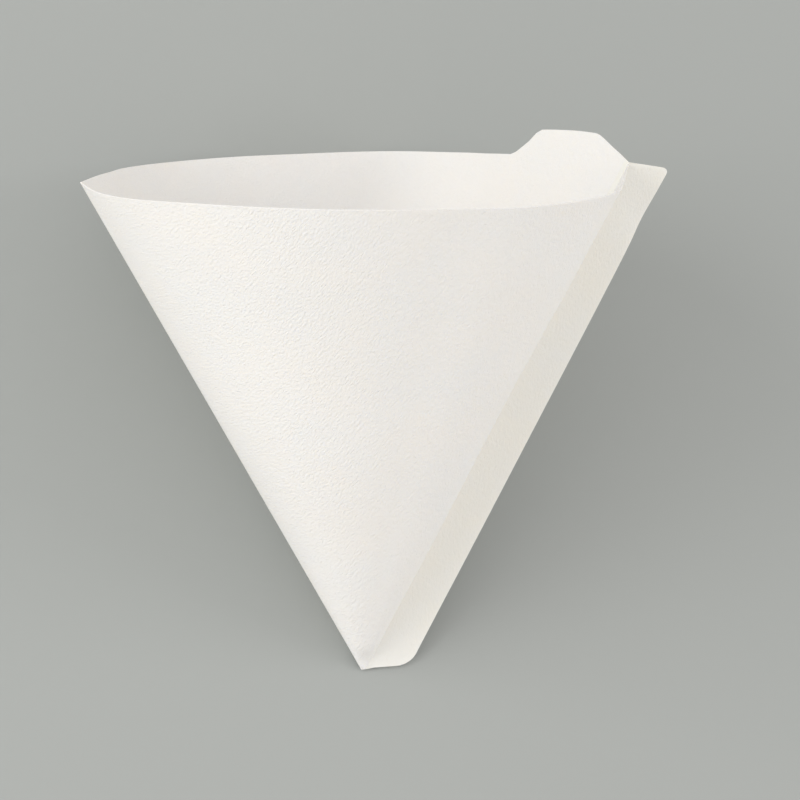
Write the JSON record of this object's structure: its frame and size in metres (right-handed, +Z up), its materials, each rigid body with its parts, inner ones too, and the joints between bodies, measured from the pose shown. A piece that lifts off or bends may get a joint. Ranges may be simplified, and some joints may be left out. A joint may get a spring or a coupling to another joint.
{
  "type": "paper coffee filter",
  "caption": "Opened cone of creped filter paper with a crimped seam strip down one side and a low pull tab on the rim, lying on its side.",
  "frame": {"origin": "centre of the bounding box's underside, on the surface that the filter lies on", "axes": "+Z up from that surface; the tip points to -Y and the open mouth to +Y and up; the crimped seam is on +X and the folded crease on -X"},
  "size_m": [0.1266, 0.1188, 0.1045],
  "materials": {
    "paper": "creped, matte, off-white"
  },
  "bodies": {
    "root": {"paper_filter": "paper"}
  },
  "joints": []
}
